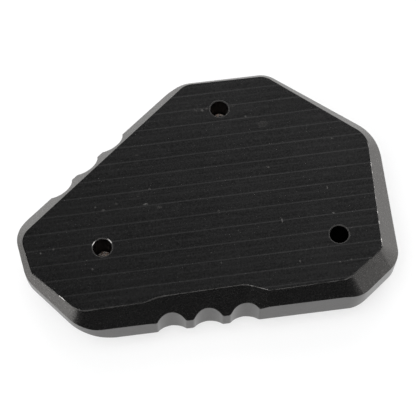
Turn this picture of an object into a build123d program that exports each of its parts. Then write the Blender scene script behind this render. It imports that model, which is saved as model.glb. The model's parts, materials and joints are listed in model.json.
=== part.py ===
"""Kickstand foot enlarger: a machined base plate, a clamp plate and three countersunk screws.

The part lies as it is shown, on its clamp plate, with the ground face of the base plate up and tilted.
Plan positions are measured from the middle of the near edge, x along that edge and y away from it.
Heights of the base plate are measured from its hidden face, which the clamp plate is screwed to."""

import os
from math import radians, tan

from build123d import *

os.makedirs("parts", exist_ok=True)

# Driving dimensions in millimetres and degrees: outline of the outer wall in plan
near_length = 62.0
nose_right_out = 10.0
nose_right_y = 7.5
right_lean = 0.7
right_length = 31.3
far_length = 22.4
far_middle_x = 7.4
plate_depth = 58.2
left_lean = 2.0
left_length = 12.7
heel_left_out = 11.0
heel_left_y = 13.4

# Rounding of the outline's corners
near_left_round = 9.0
near_right_round = 7.0
nose_right_round = 6.0
shoulder_right_round = 12.0
far_right_round = 6.0
far_left_round = 9.0
nose_left_round = 7.6
heel_left_round = 8.0

# Ground face: its height above the hidden face at the middle of the near edge, its tilt and its edge
near_thickness = 12.0
tilt_away = 2.63
tilt_left = 0.90
ground_edge_round = 0.3

# Height of the wall's top edge, where the slope to the ground face starts
near_wall_top = 6.91
lower_right_wall_top = 8.14
right_wall_top = 8.03
upper_right_wall_top = 8.38
far_wall_top = 8.63
upper_left_wall_top = 7.12
left_wall_top = 9.15
lower_left_wall_top = 9.15

# Height of the wall's bottom edge, where the slope to the hidden face starts
wall_bottom = 1.65
lower_right_wall_bottom = 2.35
left_wall_bottom = 6.05

# Slopes, with the rounding of their corners at the hidden face and at the ground face's highest point
slope_angle = 45.0
hidden_corner_round = 2.0
near_left_slope_round = 2.8
near_right_slope_round = 3.6
nose_right_slope_round = 1.2
shoulder_right_slope_round = 4.5
far_right_slope_round = 1.2
far_left_slope_round = 1.2
nose_left_slope_round = 2.0
heel_left_slope_round = 1.2

# Steps where the near slope comes forward again on each side of the flutes
left_step_x = -14.4
left_step_depth = 0.92
left_step_slant = 18.5
left_step_round = 9.0
right_step_x = 7.1
right_step_depth = 2.37
right_step_slant = 25.0
right_step_round = 0.2
step_outer_round = 0.1

# Flutes: half-round grooves down the near wall and down the upper left wall
flute_radius = 3.8
flute_depth = 1.75
flute_pitch = 8.15
flute_count = 3
near_flutes_x = -3.1
near_flute_edge_round = 0.8
left_flutes_shift = 2.8
left_flute_edge_round = 0.3

# Tapped screw holes, placed from the ends of the near edge and from the middle of the far edge
left_hole_in = 6.5
left_hole_y = 18.15
right_hole_in = 2.95
right_hole_y = 14.05
far_hole_in = 8.35
far_hole_shift = -1.4
tapped_diameter = 4.2
hole_edge_break = 0.2

# Pocket for the stand's own foot, in the hidden face
pocket_x = 2.0
pocket_y = 24.5
pocket_length = 38.0
pocket_width = 32.0
pocket_depth = 6.0
pocket_corner_round = 11.0

# Clamp plate, open on the near side for the stand's leg
clamp_thickness = 6.0
clamp_inset = 2.0
clamp_corner_round = 6.0
clamp_edge_break = 0.8
leg_notch_width = 26.0
leg_notch_end_y = 30.0

# Countersunk screws
screw_clearance_diameter = 5.5
screw_head_diameter = 9.5
screw_head_rim = 0.35
screw_head_recess = 0.25
countersink_angle = 90.0
screw_thread_clearance = 0.1
screw_seat_clearance = 0.05
screw_tip_chamfer = 0.5
left_screw_length = 10.0
right_screw_length = 8.0
far_screw_length = 10.0
hex_key_size = 3.0
hex_socket_depth = 1.9

# Spare height that keeps helper bodies clear of the faces they cut
margin = 0.1

# Corners of the wall outline, counterclockwise from the near edge's left end, with their rounding
near_end_x = near_length / 2
nose_right_x = near_end_x + nose_right_out
heel_left_x = -near_end_x - heel_left_out
wall_corners = [
    (-near_end_x, 0),
    (near_end_x, 0),
    (nose_right_x, nose_right_y),
    (nose_right_x + right_lean, nose_right_y + right_length),
    (far_middle_x + far_length / 2, plate_depth),
    (far_middle_x - far_length / 2, plate_depth),
    (heel_left_x - left_lean, heel_left_y + left_length),
    (heel_left_x, heel_left_y),
]
wall_rounds = [
    near_left_round,
    near_right_round,
    nose_right_round,
    shoulder_right_round,
    far_right_round,
    far_left_round,
    nose_left_round,
    heel_left_round,
]

# Edges of that outline, each from the corner in its place to the next, with the wall's bottom edge there
wall_bottoms = {
    "near": wall_bottom,
    "lower_right": lower_right_wall_bottom,
    "right": wall_bottom,
    "upper_right": wall_bottom,
    "far": wall_bottom,
    "upper_left": wall_bottom,
    "left": left_wall_bottom,
    "lower_left": left_wall_bottom,
}
edge_names = list(wall_bottoms)

# Screw places, with the length of the screw in each
screws = {
    "left": ((left_hole_in - near_end_x, left_hole_y), left_screw_length),
    "right": ((near_end_x - right_hole_in, right_hole_y), right_screw_length),
    "far": ((far_middle_x + far_hole_shift, plate_depth - far_hole_in), far_screw_length),
}
screw_places = [place for place, length in screws.values()]


def wall_edge(name, inset):
    """An edge of the wall outline as a point and a direction, moved into the plate by inset."""
    index = edge_names.index(name)
    start = Vector(*wall_corners[index])
    end = Vector(*wall_corners[(index + 1) % len(wall_corners)])
    direction = (end - start).normalized()
    return start + direction.rotate(Axis.Z, 90) * inset, direction


def crossing(line, other):
    """The point where two lines, each a point and a direction, cross."""
    (point, direction), (other_point, other_direction) = line, other
    gap = other_point - point
    turn = direction.cross(other_direction).Z
    return point + direction * (gap.cross(other_direction).Z / turn)


def corners_of(lines):
    """The corners of an outline given by its edge lines in order, each with the line before it."""
    return [crossing(lines[index - 1], line) for index, line in enumerate(lines)]


def flute_rows():
    """Plan positions of the flutes' centre lines outside the near and the upper left wall, with their
    edges' rounding."""
    outside = flute_radius - flute_depth
    shifts = [flute_pitch * (index - (flute_count - 1) / 2) for index in range(flute_count)]
    near = [Vector(near_flutes_x + shift, -outside) for shift in shifts]
    start, direction = wall_edge("upper_left", -outside)
    end, _ = wall_edge("left", 0)
    half = (end - start).dot(direction) / 2
    left = [start + direction * (half + left_flutes_shift + shift) for shift in shifts]
    return [(near, near_flute_edge_round), (left, left_flute_edge_round)]


# The outline's middle is set over the origin, so every sketch plane is moved by it
with BuildSketch() as wall_outline:
    with BuildLine():
        FilletPolyline(*wall_corners, radius=wall_rounds, close=True)
    make_face()
    for centres, edge_round in flute_rows():
        other_corners = wall_outline.vertices()
        with Locations(*centres):
            Circle(flute_radius, mode=Mode.SUBTRACT)
        fillet(wall_outline.vertices() - other_corners, edge_round)
plan_middle = wall_outline.sketch.bounding_box().center()


def level(height):
    """A horizontal sketch plane at a height above the surface that the part lies on."""
    return Plane((-plan_middle.X, -plan_middle.Y, height))


def base_level(height):
    """A horizontal sketch plane at a height above the base plate's hidden face."""
    return level(clamp_thickness + height)


# Ground face as a plane, and its highest point over the plate
ground_rise = Vector(tan(radians(tilt_left)), -tan(radians(tilt_away)))
ground_heights = [near_thickness + ground_rise.dot(Vector(*corner)) for corner in wall_corners]
ground_top = max(ground_heights) + margin
ground_plane = Plane(base_level(near_thickness).origin, z_dir=(-ground_rise.X, -ground_rise.Y, 1))

# Wall tops along the ground slope, and the level just under the lowest of them that both slopes start from
slope_run = tan(radians(slope_angle))
near_left_wall_top = near_wall_top + left_step_depth / slope_run
near_right_wall_top = near_wall_top + right_step_depth / slope_run
wall_tops = {
    "lower_right": lower_right_wall_top,
    "right": right_wall_top,
    "upper_right": upper_right_wall_top,
    "far": far_wall_top,
    "upper_left": upper_left_wall_top,
    "left": left_wall_top,
    "lower_left": lower_left_wall_top,
}
slope_level = min(near_wall_top, *wall_tops.values()) - margin
slope_growth = (ground_top - slope_level) * slope_run


def slope_edge(name, wall_top):
    """Where the ground slope above a wall edge starts, at the level that the slopes start from."""
    return wall_edge(name, (slope_level - wall_top) * slope_run)


def step_edge(x, depth, slant):
    """The slanting line of a step of the near slope, through the middle of the step."""
    (_, y, _), direction = slope_edge("near", near_wall_top)
    return Vector(x, y - depth / 2), direction.rotate(Axis.Z, slant)


# Outline of the ground slope at that level: a bend's radius shrinks with height, or grows in a hollow bend
ground_lines = [
    slope_edge("near", near_left_wall_top),
    step_edge(left_step_x, left_step_depth, left_step_slant),
    slope_edge("near", near_wall_top),
    step_edge(right_step_x, right_step_depth, -right_step_slant),
    slope_edge("near", near_right_wall_top),
]
ground_lines += [slope_edge(name, wall_top) for name, wall_top in wall_tops.items()]
ground_rounds = [
    near_left_slope_round + slope_growth,
    step_outer_round + slope_growth,
    left_step_round,
    right_step_round,
    step_outer_round + slope_growth,
    near_right_slope_round + slope_growth,
    nose_right_slope_round + slope_growth,
    shoulder_right_slope_round + slope_growth,
    far_right_slope_round + slope_growth,
    far_left_slope_round + slope_growth,
    nose_left_slope_round + slope_growth,
    heel_left_slope_round + slope_growth,
]

# Outline of the hidden slope at the same level
hidden_lines = [wall_edge(name, (bottom - slope_level) * slope_run) for name, bottom in wall_bottoms.items()]
hidden_round = hidden_corner_round + slope_level * slope_run

# Base plate
with BuildPart() as base_plate:
    with BuildSketch(base_level(slope_level)):
        with BuildLine():
            FilletPolyline(*corners_of(hidden_lines), radius=hidden_round, close=True)
        make_face()
    hidden_slopes = extrude(amount=slope_level, taper=slope_angle, mode=Mode.PRIVATE)
    mirror(hidden_slopes, about=base_level(slope_level))
    with BuildSketch(base_level(slope_level)):
        with BuildLine():
            FilletPolyline(*corners_of(ground_lines), radius=ground_rounds, close=True)
        make_face()
    extrude(amount=ground_top - slope_level, taper=slope_angle)
    with BuildSketch(base_level(0)):
        add(wall_outline.sketch)
    extrude(amount=ground_top, mode=Mode.INTERSECT)
    split(bisect_by=ground_plane, keep=Keep.BOTTOM)
    fillet(base_plate.faces().filter_by(ground_plane).edges(), ground_edge_round)
    with BuildSketch(base_level(0)):
        with Locations((pocket_x, pocket_y)):
            RectangleRounded(pocket_length, pocket_width, pocket_corner_round)
    extrude(amount=pocket_depth, mode=Mode.SUBTRACT)
    with BuildSketch(base_level(0)):
        with Locations(*screw_places):
            Circle(tapped_diameter / 2)
    extrude(amount=ground_top, mode=Mode.SUBTRACT)
    hole_rims = base_plate.faces().filter_by(ground_plane)[0].inner_wires()
    chamfer(hole_rims.edges(), hole_edge_break)
base_plate.part.label = "base_plate"
export_step(base_plate.part, "parts/base_plate.step")

# Clamp plate, with countersinks that let the screw heads sink below its face
countersink_slope = tan(radians(countersink_angle / 2))
countersink_spread = (screw_head_recess + screw_head_rim) * countersink_slope
countersink_radius = screw_head_diameter / 2 + countersink_spread + screw_seat_clearance
clamp_lines = [wall_edge(name, bottom * slope_run + clamp_inset) for name, bottom in wall_bottoms.items()]
with BuildPart() as clamp_plate:
    with BuildSketch(level(0)):
        with BuildLine():
            FilletPolyline(*corners_of(clamp_lines), radius=clamp_corner_round, close=True)
        make_face()
        with Locations((pocket_x, leg_notch_end_y - leg_notch_width / 2)):
            Circle(leg_notch_width / 2, mode=Mode.SUBTRACT)
            Rectangle(leg_notch_width, leg_notch_end_y, align=(Align.CENTER, Align.MAX), mode=Mode.SUBTRACT)
    extrude(amount=clamp_thickness)
    chamfer(clamp_plate.faces().sort_by(Axis.Z)[0].edges(), clamp_edge_break)
    with Locations(*[Plane(level(0).from_local_coords(place), z_dir=(0, 0, -1)) for place in screw_places]):
        CounterSinkHole(
            screw_clearance_diameter / 2,
            countersink_radius,
            counter_sink_angle=countersink_angle,
        )
clamp_plate.part.label = "clamp_plate"
export_step(clamp_plate.part, "parts/clamp_plate.step")

# Screws, from the head's outer face up
core_radius = tapped_diameter / 2 - screw_thread_clearance
head_radius = screw_head_diameter / 2
head_height = screw_head_rim + (head_radius - core_radius) / countersink_slope
for side, (place, length) in screws.items():
    foot = level(screw_head_recess).from_local_coords(place)
    with BuildPart() as screw:
        with BuildSketch(Plane(foot, x_dir=(1, 0, 0), z_dir=(0, -1, 0))):
            with BuildLine():
                Polyline(
                    (0, 0),
                    (head_radius, 0),
                    (head_radius, screw_head_rim),
                    (core_radius, head_height),
                    (core_radius, length - screw_tip_chamfer),
                    (core_radius - screw_tip_chamfer, length),
                    (0, length),
                    close=True,
                )
            make_face()
        revolve(axis=Axis(foot, (0, 0, 1)))
        with BuildSketch(Plane(foot)):
            RegularPolygon(hex_key_size / 2, 6, major_radius=False)
        extrude(amount=hex_socket_depth, mode=Mode.SUBTRACT)
    screw.part.label = "screw_" + side
    export_step(screw.part, "parts/screw_" + side + ".step")
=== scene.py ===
"""Looks of the kickstand foot enlarger: its finishes, its threaded screws, a plain studio and the camera."""

import json
from math import cos, pi, radians, sin

import bmesh
import bpy
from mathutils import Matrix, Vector


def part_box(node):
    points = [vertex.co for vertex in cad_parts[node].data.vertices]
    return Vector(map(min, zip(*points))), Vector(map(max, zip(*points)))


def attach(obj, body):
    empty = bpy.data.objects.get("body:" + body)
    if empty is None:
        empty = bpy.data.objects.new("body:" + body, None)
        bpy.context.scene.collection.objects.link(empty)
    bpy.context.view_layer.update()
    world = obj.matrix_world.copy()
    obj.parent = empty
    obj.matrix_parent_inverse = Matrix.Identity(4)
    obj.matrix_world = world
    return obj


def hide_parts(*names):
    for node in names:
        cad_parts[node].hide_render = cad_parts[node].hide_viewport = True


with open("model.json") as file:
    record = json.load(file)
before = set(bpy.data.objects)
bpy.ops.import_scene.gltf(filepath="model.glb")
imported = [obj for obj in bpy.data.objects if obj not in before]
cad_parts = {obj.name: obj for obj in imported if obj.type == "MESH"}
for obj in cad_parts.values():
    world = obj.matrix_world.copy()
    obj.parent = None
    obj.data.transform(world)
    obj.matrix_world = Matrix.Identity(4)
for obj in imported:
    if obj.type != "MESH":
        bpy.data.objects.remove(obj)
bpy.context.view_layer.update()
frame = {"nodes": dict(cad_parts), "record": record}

# Units are metres, as in the frame
mm = 0.001

# Camera: where it aims, its heading from the part's +Y, its height angle, its distance, its lens and where
# its view starts
camera_target = Vector((0.917, -4.545, 16.87)) * mm
camera_heading = radians(7.507)
camera_elevation = radians(65.993)
camera_distance = 291.93 * mm
camera_lens_mm = 112.28
camera_near = 10 * mm

# Directions in the part's axes
right = Vector((1.0, 0.0, 0.0))
near = Vector((0.0, -1.0, 0.0))
up = Vector((0.0, 0.0, 1.0))

# Noise patterns: the middle of their values, the range that most values lie in, and the detail of a fine one
noise_middle = 0.5
noise_range = (0.3, 0.7)
fine_detail = 3.0

# Studio: a white floor that turns up into a white wall, open towards the camera
floor_reach = 0.9
wall_height = 0.36
wall_bend = 0.12
wall_start = radians(-43)
wall_end = radians(252)
wall_fade = radians(36)
wall_lowest = 0.02
wall_steps = 72
bend_steps = 10
floor_white = 0.9
paper_glow_share = 0.66

# Dim room: its levels, the direction in which it is lighter, and how far along it that starts and ends
room_dark = 0.046
room_light = 0.19
room_lean = Vector((0.6, 0.8, 0.0))
room_turn = (0.13, 0.63)
room_tint = (0.97, 0.995, 1.035)

# Soft lamps that face the part, and one that faces the wall: direction from the part, height angle, distance,
# side length and power in watts
part_lamps = {
    "front_lamp": (radians(270), radians(75), 0.7, 0.50, 2.7),
    "left_lamp": (radians(225), radians(62), 0.7, 0.50, 2.4),
    "right_lamp": (radians(0), radians(75), 0.7, 0.50, 0.5),
    "back_lamp": (radians(90), radians(55), 0.7, 0.50, 1.9),
}
wall_lamps = {
    "left_wash": (radians(205), radians(35), 0.5, 0.30, 3.3),
}

# Milling on the ground face: its pitch, where a line lies, its turn from the part's X, how far it wavers, the
# repeats in a metre by which it wavers and fades, and how far it fades
line_pitch = 3.906 * mm
line_phase = 1.86 * mm
line_turn = radians(-0.1)
line_waver = 0.06 * mm
line_waver_scale = (90.0, 30.0, 0.0)
line_fade_scale = (60.0, 260.0, 0.0)
line_fade = (0.9, 1.1)

# Marks of one pass of the mill: place between two lines, half width, and how much lighter the skin is there
# The mill's marks are painted: sheen where the ridge between passes catches light, shade in the band beside
# it
mill_marks_and_sheen = [
    (0.00, 0.24 * mm, 0.88),
    (0.19, 0.70 * mm, -0.06),
    (0.55, 0.45 * mm, 0.16),
]

# Grain of the skin: how much it lightens and darkens in fine grains, in streaks and in clouds, their sizes,
# the share of it that other faces have, and its relief
grain_strength = 1.75
streak_strength = 0.65
cloud_strength = 0.30
grain_size = 0.36 * mm
streak_length = 9.0 * mm
streak_width = 0.42 * mm
cloud_size = 14.0 * mm
off_face_grain = 0.30
grain_height = 0.006 * mm
grain_relief = 0.15

# How much of the light the skin, its marks and bare metal send back, and the painted shade of upright walls
skin_level = 0.15
skin_rubbed = 0.05
skin_rim = 0.037
# Painted shade on the edges of the ground face
edge_painted_shade = 0.06
skin_dust = 0.065
bare_metal = 0.65
# Painted shade in the holes' bores
bore_painted_shade = 0.06
skin_tint = (1.03, 1.0, 0.97)
wall_painted_shade = 0.62

# Roughness of the skin from dark to light grain, of upright walls, of matt marks and of the bores
grain_change = (-0.2, 0.2)
skin_roughness = (0.23, 0.29)
wall_rough = 0.28
matt_rough = 0.80
bore_rough = 0.50

# How much a surface faces out of the milled face where that face and its edges start and end, and how much it
# faces up or down where it starts to be an upright wall
face_start = (0.990, 0.998)
edge_start = (0.78, 0.84)
edge_end = (0.996, 0.985)
upright_start = (0.5, 0.2)

# Dust that lies on the ground face: middle in plan, half width along the lines and across them, all in
# millimetres, and strength
dust_specks = [
    (1.4, 21.1, 0.80, 0.36, 0.32),
    (2.9, 21.0, 0.40, 0.50, 0.80),
    (4.0, 21.2, 0.40, 0.40, 0.50),
    (9.8, 21.2, 1.20, 0.34, 0.25),
    (12.7, 17.9, 0.36, 0.34, 0.72),
    (16.4, 15.3, 1.50, 1.10, 0.14),
    (31.5, 9.3, 0.34, 0.32, 0.72),
    (-13.5, 11.2, 0.40, 0.26, 0.40),
    (15.9, 3.8, 0.30, 0.30, 0.64),
    (-11.6, 2.1, 0.36, 0.30, 0.56),
    (-12.9, -1.6, 0.60, 0.30, 1.00),
    (-9.9, -2.8, 0.70, 0.50, 0.35),
    (-22.5, -1.8, 0.45, 0.34, 0.48),
    (-24.2, -0.8, 0.26, 0.30, 0.64),
    (-19.5, -0.6, 0.36, 0.40, 0.35),
    (3.2, -5.7, 0.30, 0.45, 0.35),
    (28.3, -3.2, 0.22, 0.50, 1.00),
    (28.6, -9.7, 0.30, 0.34, 0.88),
    (16.9, -9.9, 0.24, 0.65, 1.00),
    (-37.3, -10.5, 0.30, 0.28, 0.88),
    (-34.4, -9.9, 0.32, 0.34, 0.64),
    (-26.2, -15.9, 0.30, 0.30, 0.64),
    (2.1, -18.3, 0.30, 0.30, 0.48),
    (19.3, -20.3, 0.32, 0.36, 0.64),
    (28.0, -21.7, 0.40, 0.32, 0.56),
    (30.5, -21.5, 0.30, 0.30, 0.72),
]

# Those specks: where in its half width one fades out, the strength at which it covers the skin, and how
# finely and how much its outline is ragged
speck_edge = (1.0, 0.3)
speck_cover = (0.0, 0.2)
ragged_scale = 3400.0
raggedness = 1.5

# Fine dust: cells in a metre, how large a grain is in its cell, which cells have one, and strength
fine_dust_scale = (420.0, 420.0, 0.0)
fine_dust_size = (0.09, 0.03)
fine_dust_chosen = (0.6, 1.0)
fine_dust_strength = 0.40

# Bare arcs that the tap left on the rims of the holes: directions in plan from the hole's middle, and where
# an arc starts as a share of the hole's radius
bare_arcs = {
    "screw_left": (radians(146), radians(37)),
}
arc_start = (1.02, 1.07)

# Outward directions of the edges of the ground face that are rubbed besides the near one, and that are nicked
rubbed_sides = [Vector((1.0, -0.02, 0.0)), Vector((0.65, -0.76, 0.0))]
nicked_sides = [Vector((1.0, -0.02, 0.0)), Vector((-0.77, -0.64, 0.0))]

# How much an edge leans to such a side, how little it turns away from it, how much the near edge leans to the
# near side, and how much its turning to the right or the left takes from that
side_lean = (0.08, 0.20)
side_turn = (0.12, 0.06)
near_lean = (0.04, 0.12)
near_turn_loss = 1.2

# Wear of those edges: its patches and nicks in a metre, their limits in the noise, and how strong they get
patch_scale = 700.0
patch_limits = (0.35, 0.65)
nick_scale = 620.0
nick_detail = 4.0
nick_limits = (0.53, 0.62)
wear_range = (0.3, 1.0)

# Steel of the screws, its turning marks, and the brown stain with its crumbs at the tips
steel_dark = 0.50
steel_light = 0.68
steel_roughness = (0.3, 0.5)
steel_height = 0.05 * mm
steel_relief = 0.6
turning_scale = (900.0, 900.0, 5000.0)
stain_dark = (0.05, 0.035, 0.028, 1.0)
stain_light = (0.26, 0.20, 0.165, 1.0)
stain_scale = 1500.0
stain_limits = (0.36, 0.52)
stain_start = 1.5 * mm
stain_full = 0.5 * mm
stain_bulk = 2.0
crumb_scale = 2600.0
crumb_limits = (0.38, 0.62)

# Screw holes: radius, width of the rim's mark, how far it fades, and how far past the radius the bore's
# painted shade fades
hole_radius = 2.1 * mm
rim_width = 0.2 * mm
rim_edge = 0.10 * mm
bore_edge = (0.06 * mm, 0.02 * mm)

# Threads, heads and sockets of the screws, the points in a ring, and the angle that stays a sharp edge
thread_pitch = 0.8 * mm
thread_crest = 2.04 * mm
thread_root = 1.68 * mm
thread_steps = 12
screw_rim_height = 0.35 * mm
screw_tip_break = 0.5 * mm
hex_key_size = 3.0 * mm
hex_socket_depth = 1.9 * mm
ring_points = 48
sharp_angle = radians(35)

screw_nodes = ["screw_left", "screw_right", "screw_far"]
mounts = {mount["name"]: mount for mount in frame["record"]["mounts"]}
ground_normal = Vector(mounts["ground_face"]["axis"])


def plan_centre(node):
    """Plan position of the axis of a screw and of the hole that it is in."""
    low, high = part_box(node)
    middle = (low + high) / 2
    return Vector((middle.x, middle.y, 0.0))


class Finish:
    """A material's nodes, added by short calls that take plain values or the outputs of earlier calls."""

    def __init__(self, name):
        self.material = bpy.data.materials.new(name)
        self.material.use_nodes = True
        self.tree = self.material.node_tree
        self.shader = self.tree.nodes["Principled BSDF"]

    def put(self, socket, value):
        if isinstance(value, bpy.types.NodeSocket):
            self.tree.links.new(value, socket)
        else:
            socket.default_value = value

    def node(self, kind, **settings):
        node = self.tree.nodes.new(kind)
        for setting, value in settings.items():
            setattr(node, setting, value)
        return node

    def math(self, operation, *values, clamp=False):
        node = self.node("ShaderNodeMath", operation=operation, use_clamp=clamp)
        for socket, value in zip(node.inputs, values):
            self.put(socket, value)
        return node.outputs[0]

    def ramp(self, value, start, end, low=0.0, high=1.0):
        """A smooth rise from low to high as the value goes from start to end."""
        node = self.node("ShaderNodeMapRange", interpolation_type="SMOOTHSTEP")
        for socket, setting in zip(node.inputs, (value, start, end, low, high)):
            self.put(socket, setting)
        return node.outputs[0]

    def noise(self, place, scale, detail=2.0):
        node = self.node("ShaderNodeTexNoise")
        self.put(node.inputs["Vector"], place)
        self.put(node.inputs["Scale"], scale)
        self.put(node.inputs["Detail"], detail)
        return node.outputs["Fac"]

    def stretched(self, place, scale):
        node = self.node("ShaderNodeMapping")
        self.put(node.inputs["Vector"], place)
        self.put(node.inputs["Scale"], scale)
        return node.outputs["Vector"]

    def mixed(self, share, first, second):
        node = self.node("ShaderNodeMix", data_type="RGBA")
        self.put(node.inputs["Factor"], share)
        self.put(node.inputs[6], first)
        self.put(node.inputs[7], second)
        return node.outputs[2]

    def blended(self, share, first, second):
        """A level between two others."""
        node = self.node("ShaderNodeMix", data_type="FLOAT")
        self.put(node.inputs[0], share)
        self.put(node.inputs[2], first)
        self.put(node.inputs[3], second)
        return node.outputs[0]

    def bump(self, height, distance, strength):
        node = self.node("ShaderNodeBump")
        self.put(node.inputs["Height"], height)
        self.put(node.inputs["Distance"], distance)
        self.put(node.inputs["Strength"], strength)
        return node.outputs["Normal"]

    def coordinates(self):
        node = self.node("ShaderNodeTexCoord")
        return node.outputs["Object"], node.outputs["Normal"]

    def along(self, place, direction):
        """How far a place, or how much a direction, goes along a given direction."""
        node = self.node("ShaderNodeVectorMath", operation="DOT_PRODUCT")
        self.put(node.inputs[0], place)
        self.put(node.inputs[1], direction)
        return node.outputs["Value"]

    def distance(self, place, other):
        node = self.node("ShaderNodeVectorMath", operation="DISTANCE")
        self.put(node.inputs[0], place)
        self.put(node.inputs[1], other)
        return node.outputs["Value"]


def grey(level, tint=(1.0, 1.0, 1.0)):
    """A grey of a given level, shifted towards a tint."""
    return tuple(level * share for share in tint) + (1.0,)


def milling(finish, place):
    """How much lighter the skin is along the mill's marks, as painted sheen on ridges and shade beside them.
    """
    across = finish.along(place, (-sin(line_turn), cos(line_turn), 0.0))
    waver = finish.noise(finish.stretched(place, line_waver_scale), 1.0)
    across = finish.math("MULTIPLY_ADD", waver, line_waver, across)
    change = 0.0
    for share, half_width, gain in mill_marks_and_sheen:
        from_line = line_phase + line_waver / 2 + share * line_pitch
        from_mark = finish.math("PINGPONG", finish.math("SUBTRACT", across, from_line), line_pitch / 2)
        change = finish.math("MULTIPLY_ADD", finish.ramp(from_mark, half_width, 0.0), gain, change)
    fade = finish.noise(finish.stretched(place, line_fade_scale), 1.0)
    return finish.math("MULTIPLY", change, finish.ramp(fade, *noise_range, *line_fade))


def skin_grain(finish, place, fine):
    """How much lighter the skin is in its grains, streaks and clouds."""
    stretch = (1 / streak_length, 1 / streak_width, 1 / streak_width)
    patterns = [
        (fine, grain_strength),
        (finish.noise(finish.stretched(place, stretch), 1.0, fine_detail), streak_strength),
        (finish.noise(place, 1 / cloud_size), cloud_strength),
    ]
    change = 0.0
    for pattern, strength in patterns:
        lighter = finish.math("SUBTRACT", pattern, noise_middle)
        change = finish.math("MULTIPLY_ADD", lighter, strength, change)
    return change


def dust(finish, place):
    """Specks that lie on the ground face: the ones that stand out and a scatter of fine ones."""
    cells = finish.node("ShaderNodeTexVoronoi")
    finish.put(cells.inputs["Vector"], finish.stretched(place, fine_dust_scale))
    finish.put(cells.inputs["Scale"], 1.0)
    chosen = finish.ramp(finish.along(cells.outputs["Color"], right), *fine_dust_chosen)
    fine = finish.math("MULTIPLY", finish.ramp(cells.outputs["Distance"], *fine_dust_size), chosen)
    specks = finish.math("MULTIPLY", fine, fine_dust_strength)
    ragged = finish.math("SUBTRACT", finish.noise(place, ragged_scale), noise_middle)
    for x, y, half_width, half_depth, strength in dust_specks:
        shares = (1 / (half_width * mm), 1 / (half_depth * mm), 0.0)
        scaled = finish.node("ShaderNodeVectorMath", operation="MULTIPLY_ADD")
        finish.put(scaled.inputs[0], place)
        finish.put(scaled.inputs[1], shares)
        finish.put(scaled.inputs[2], (-x / half_width, -y / half_depth, 0.0))
        reach = finish.distance(scaled.outputs[0], (0.0, 0.0, 0.0))
        reach = finish.math("MULTIPLY_ADD", ragged, raggedness, reach)
        specks = finish.math("MAXIMUM", specks, finish.ramp(reach, *speck_edge, 0.0, strength))
    return specks


def hole_marks(finish, place):
    """Masks of the holes' bores (for painted shade), of their rims and of the bare arcs on the rims."""
    in_plan = finish.stretched(place, (1.0, 1.0, 0.0))
    bores, rims, bare = 0.0, 0.0, 0.0
    for node in screw_nodes:
        centre = plan_centre(node)
        reach = finish.distance(in_plan, centre)
        outside = finish.math("SUBTRACT", reach, hole_radius)
        bore = finish.ramp(outside, *bore_edge)
        rim = finish.ramp(outside, rim_width + rim_edge, rim_width)
        bores = finish.math("MAXIMUM", bores, bore)
        rims = finish.math("MAXIMUM", rims, rim)
        for turn in bare_arcs.get(node, ()):
            outward = Vector((cos(turn), sin(turn), 0.0))
            shift = finish.along(in_plan, outward)
            shift = finish.math("SUBTRACT", shift, centre.dot(outward))
            arc = finish.ramp(finish.math("DIVIDE", shift, hole_radius), *arc_start)
            bare = finish.math("MAXIMUM", bare, finish.math("MULTIPLY", arc, rim))
    return bores, rims, bare


def on_side(finish, normal, side):
    """Mask of surfaces that lean to one side in plan."""
    outward = finish.ramp(finish.along(normal, side), *side_lean)
    sideways = finish.math("ABSOLUTE", finish.along(normal, side.cross(up)))
    return finish.math("MULTIPLY", outward, finish.ramp(sideways, *side_turn))


def edge_wear_and_shade(finish, place, normal, facing):
    """Masks of the ground face's edges, which carry painted shade, of the rubbed ones, and of nicks."""
    on_edge = finish.math("MULTIPLY", finish.ramp(facing, *edge_start), finish.ramp(facing, *edge_end))
    sideways = finish.math("ABSOLUTE", finish.along(normal, right))
    nearness = finish.math("MULTIPLY_ADD", sideways, -near_turn_loss, finish.along(normal, near))
    rubbed = finish.ramp(nearness, *near_lean)
    for side in rubbed_sides:
        rubbed = finish.math("MAXIMUM", rubbed, on_side(finish, normal, side))
    patches = finish.ramp(finish.noise(place, patch_scale, fine_detail), *patch_limits, *wear_range)
    nicked = 0.0
    for side in nicked_sides:
        nicked = finish.math("MAXIMUM", nicked, on_side(finish, normal, side))
    nicks = finish.ramp(finish.noise(place, nick_scale, nick_detail), *nick_limits, *wear_range)
    rubbed = finish.math("MULTIPLY", on_edge, finish.math("MULTIPLY", rubbed, patches))
    return on_edge, rubbed, finish.math("MULTIPLY", on_edge, finish.math("MULTIPLY", nicked, nicks))


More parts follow.
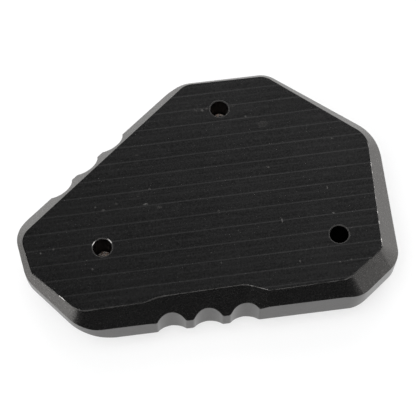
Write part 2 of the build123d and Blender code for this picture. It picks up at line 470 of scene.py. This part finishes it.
def anodised_plate(name, milled_normal, worn):
    """Black anodised aluminium with milling lines on one face and, where it is worn, dust, nicks and rims."""
    finish = Finish(name)
    place, normal = finish.coordinates()
    facing = finish.along(normal, milled_normal)
    on_face = finish.ramp(facing, *face_start)
    grained = finish.ramp(facing, *face_start, off_face_grain, 1.0)
    upright = finish.ramp(finish.math("ABSOLUTE", finish.along(normal, up)), *upright_start)
    grain = finish.noise(place, 1 / grain_size, fine_detail)
    change = finish.math("MULTIPLY", skin_grain(finish, place, grain), grained)
    roughness = finish.ramp(change, *grain_change, *skin_roughness)
    roughness = finish.math("MAXIMUM", roughness, finish.math("MULTIPLY", upright, wall_rough))
    change = finish.math("MULTIPLY_ADD", milling(finish, place), on_face, change)
    # Painted shade that darkens upright walls and the flutes in them
    change = finish.math("MULTIPLY_ADD", upright, -wall_painted_shade, change)
    level = finish.math("MULTIPLY_ADD", change, skin_level, skin_level)
    matt = 0.0
    if worn:
        bores, rims, bare = hole_marks(finish, place)
        edges, rubbed, nicks = edge_wear_and_shade(finish, place, normal, facing)
        specks = finish.math("MULTIPLY", dust(finish, place), on_face)
        # Painted shade along all edges of the ground face, darker than the skin, holding back their highlight
        level = finish.blended(edges, level, edge_painted_shade)
        level = finish.blended(rubbed, level, skin_rubbed)
        level = finish.blended(finish.ramp(specks, *speck_cover), level, skin_dust)
        level = finish.blended(rims, level, skin_rim)
        level = finish.blended(finish.math("MAXIMUM", bare, nicks), level, bare_metal)
        # Painted shade in the bores of the holes
        level = finish.blended(bores, level, bore_painted_shade)
        for mark in (specks, rims, rubbed, nicks):
            matt = finish.math("MAXIMUM", matt, mark)
        matt = finish.math("MULTIPLY", matt, finish.math("SUBTRACT", 1.0, bores))
        roughness = finish.math("MAXIMUM", roughness, finish.math("MULTIPLY", matt, matt_rough))
        roughness = finish.math("MAXIMUM", roughness, finish.math("MULTIPLY", bores, bore_rough))
    finish.put(finish.shader.inputs["Base Color"], finish.mixed(level, grey(0.0), grey(1.0, skin_tint)))
    finish.put(finish.shader.inputs["Metallic"], finish.math("SUBTRACT", 1.0, matt) if worn else 1.0)
    finish.put(finish.shader.inputs["Roughness"], roughness)
    relief = finish.math("MULTIPLY", grained, grain_relief)
    finish.put(finish.shader.inputs["Normal"], finish.bump(grain, grain_height, relief))
    return finish.material


def screw_steel(tip_height):
    """Plain stainless steel with fine turning marks, stained brown by thread lock at the tip."""
    finish = Finish("screw_steel")
    place = finish.coordinates()[0]
    marks = finish.noise(finish.stretched(place, turning_scale), 1.0, fine_detail)
    stain = finish.noise(place, stain_scale, fine_detail)
    height = finish.along(place, up)
    at_tip = finish.ramp(height, tip_height - stain_start, tip_height - stain_full)
    stain = finish.math("MULTIPLY", finish.ramp(stain, *stain_limits), at_tip)
    colour = finish.mixed(marks, grey(steel_dark), grey(steel_light))
    crumbs = finish.ramp(finish.noise(place, crumb_scale), *crumb_limits)
    colour = finish.mixed(stain, colour, finish.mixed(crumbs, stain_dark, stain_light))
    finish.put(finish.shader.inputs["Base Color"], colour)
    finish.put(finish.shader.inputs["Metallic"], finish.math("SUBTRACT", 1.0, stain))
    finish.put(finish.shader.inputs["Roughness"], finish.ramp(marks, *noise_range, *steel_roughness))
    rough = finish.math("MULTIPLY_ADD", stain, stain_bulk, marks)
    finish.put(finish.shader.inputs["Normal"], finish.bump(rough, steel_height, steel_relief))
    return finish.material


def white_paper():
    """White studio paper that keeps shadows, a little brighter where it is seen or mirrored."""
    finish = Finish("white_paper")
    rays = finish.node("ShaderNodeLightPath").outputs
    mirrored = finish.math("MAXIMUM", rays["Is Glossy Ray"], rays["Is Transmission Ray"])
    seen = finish.math("MAXIMUM", rays["Is Camera Ray"], mirrored)
    paper = finish.node("ShaderNodeBsdfDiffuse")
    finish.put(paper.inputs["Color"], grey(floor_white))
    glow = finish.node("ShaderNodeEmission")
    finish.put(glow.inputs["Strength"], 1.0)
    mix = finish.node("ShaderNodeMixShader")
    finish.put(mix.inputs[0], finish.math("MULTIPLY", seen, paper_glow_share))
    finish.put(mix.inputs[1], paper.outputs[0])
    finish.put(mix.inputs[2], glow.outputs[0])
    finish.tree.nodes.remove(finish.shader)
    output = finish.tree.nodes["Material Output"]
    finish.put(output.inputs["Surface"], mix.outputs[0])
    return finish.material


def mesh_object(name, rows, closed, material):
    """A mesh lofted through rows of points, with each row closed on itself or left open."""
    mesh = bmesh.new()
    made = [[mesh.verts.new(point) for point in row] for row in rows]
    for lower, upper in zip(made, made[1:]):
        count = len(lower)
        for index in range(count if closed else count - 1):
            following = (index + 1) % count
            mesh.faces.new((lower[index], lower[following], upper[following], upper[index]))
    if closed:
        mesh.faces.new(list(reversed(made[0])))
        mesh.faces.new(made[-1])
    bmesh.ops.recalc_face_normals(mesh, faces=mesh.faces)
    data = bpy.data.meshes.new(name)
    mesh.to_mesh(data)
    mesh.free()
    data.materials.append(material)
    piece = bpy.data.objects.new(name, data)
    bpy.context.scene.collection.objects.link(piece)
    return piece


def circle(centre, radius, height):
    """Points of a level ring."""
    turns = [2 * pi * index / ring_points for index in range(ring_points)]
    return [Vector((centre.x + radius * cos(turn), centre.y + radius * sin(turn), height)) for turn in turns]


def hexagon(centre, height):
    """Points of a level hexagon, as many as a ring has."""
    points = []
    for index in range(ring_points):
        turn = 2 * pi * index / ring_points
        off_flat = (turn + pi / 6) % (pi / 3) - pi / 6
        radius = hex_key_size / 2 / cos(off_flat)
        points.append(Vector((centre.x + radius * cos(turn), centre.y + radius * sin(turn), height)))
    return points


def thread_ring(centre, height, limit):
    """Points of a ring cut across a screw thread, kept within a limiting radius."""
    points = []
    for index in range(ring_points):
        turn = 2 * pi * index / ring_points
        phase = (height / thread_pitch - index / ring_points) % 1.0
        rise = 1.0 - abs(2.0 * phase - 1.0)
        radius = min(thread_root + (thread_crest - thread_root) * rise, limit)
        points.append(Vector((centre.x + radius * cos(turn), centre.y + radius * sin(turn), height)))
    return points


def threaded_screw(node, material):
    """A countersunk screw with a hexagon socket and a thread, in the place of its plain solid."""
    low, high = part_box(node)
    centre = (low + high) / 2
    head_radius = (high.x - low.x) / 2
    foot = low.z
    neck = foot + screw_rim_height + head_radius - thread_root
    rows = [
        hexagon(centre, foot + hex_socket_depth),
        hexagon(centre, foot),
        circle(centre, head_radius, foot),
        circle(centre, head_radius, foot + screw_rim_height),
    ]
    step = thread_pitch / thread_steps
    count = int((high.z - neck) / step)
    for index in range(count):
        height = neck + index * step
        rows.append(thread_ring(centre, height, thread_crest - screw_tip_break + high.z - height))
    rows.append(circle(centre, thread_crest - screw_tip_break, high.z))
    screw = mesh_object(node + "_threaded", rows, True, material)
    screw.data.set_sharp_from_angle(angle=sharp_angle)
    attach(screw, "root")
    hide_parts(node)


def studio_paper(material):
    """The floor and the wall that it turns up into, as one sheet each."""
    floor = mesh_object("floor", [], False, material)
    disc = bmesh.new()
    bmesh.ops.create_circle(disc, cap_ends=True, radius=floor_reach, segments=wall_steps)
    disc.to_mesh(floor.data)
    disc.free()
    rows = []
    for index in range(bend_steps + 1):
        bend = pi / 2 * index / bend_steps
        rows.append((floor_reach - wall_bend * (1 - sin(bend)), wall_bend * (1 - cos(bend))))
    rows.append((floor_reach, wall_height))
    sheet = [[] for row in rows]
    for index in range(wall_steps + 1):
        bearing = wall_start + (wall_end - wall_start) * index / wall_steps
        share = min(bearing - wall_start, wall_end - bearing, wall_fade) / wall_fade
        share = wall_lowest + (1.0 - wall_lowest) * share * share * (3.0 - 2.0 * share)
        outward = Vector((cos(bearing - camera_heading), sin(bearing - camera_heading), 0.0))
        for points, (reach, height) in zip(sheet, rows):
            points.append(outward * reach + Vector((0.0, 0.0, height * share)))
    wall = mesh_object("wall", sheet, False, material)


def soft_lamp(name, to_part, direction, elevation, distance, side, power):
    """A square lamp that faces the part or the wall, and that the skin doesn't mirror."""
    turn = direction - camera_heading
    outward = Vector((cos(turn) * cos(elevation), sin(turn) * cos(elevation), sin(elevation)))
    data = bpy.data.lights.new(name, "AREA")
    data.shape = "SQUARE"
    data.size = side
    data.energy = power
    lamp = bpy.data.objects.new(name, data)
    lamp.location = outward * distance
    lamp.rotation_mode = "QUATERNION"
    lamp.rotation_quaternion = outward.to_track_quat("Z" if to_part else "-Z", "Y")
    lamp.visible_glossy = False
    bpy.context.scene.collection.objects.link(lamp)


def dim_room():
    """A dim surround that is lighter towards the back and the right."""
    world = bpy.data.worlds.new("room")
    world.use_nodes = True
    tree = world.node_tree
    direction = tree.nodes.new("ShaderNodeTexCoord").outputs["Generated"]
    lean = tree.nodes.new("ShaderNodeVectorMath")
    lean.operation = "DOT_PRODUCT"
    lean.inputs[1].default_value = room_lean
    tree.links.new(direction, lean.inputs[0])
    level = tree.nodes.new("ShaderNodeMapRange")
    level.interpolation_type = "SMOOTHSTEP"
    for socket, value in zip(level.inputs[1:5], (*room_turn, room_dark, room_light)):
        socket.default_value = value
    tree.links.new(lean.outputs["Value"], level.inputs[0])
    background = tree.nodes["Background"]
    background.inputs["Color"].default_value = grey(1.0, room_tint)
    tree.links.new(level.outputs[0], background.inputs["Strength"])
    bpy.context.scene.world = world


def add_camera():
    """The camera, from where the part is looked down on."""
    flat = cos(camera_elevation)
    forward = Vector((sin(camera_heading) * flat, cos(camera_heading) * flat, -sin(camera_elevation)))
    data = bpy.data.cameras.new("camera")
    data.lens = camera_lens_mm
    data.clip_start = camera_near
    camera = bpy.data.objects.new("camera", data)
    camera.location = camera_target - forward * camera_distance
    camera.rotation_mode = "QUATERNION"
    camera.rotation_quaternion = forward.to_track_quat("-Z", "Y")
    bpy.context.scene.collection.objects.link(camera)
    bpy.context.scene.camera = camera


finishes = {
    "base_plate": anodised_plate("ground_plate_skin", ground_normal, True),
    "clamp_plate": anodised_plate("clamp_plate_skin", -up, False),
}
for node, finish in finishes.items():
    for slot in frame["nodes"][node].material_slots:
        slot.material = finish
steel_finish = screw_steel(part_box("screw_far")[1].z)
for node in screw_nodes:
    threaded_screw(node, steel_finish)

studio_paper(white_paper())
for name, settings in part_lamps.items():
    soft_lamp(name, True, *settings)
for name, settings in wall_lamps.items():
    soft_lamp(name, False, *settings)
dim_room()
add_camera()
bpy.context.scene.view_settings.view_transform = "Standard"
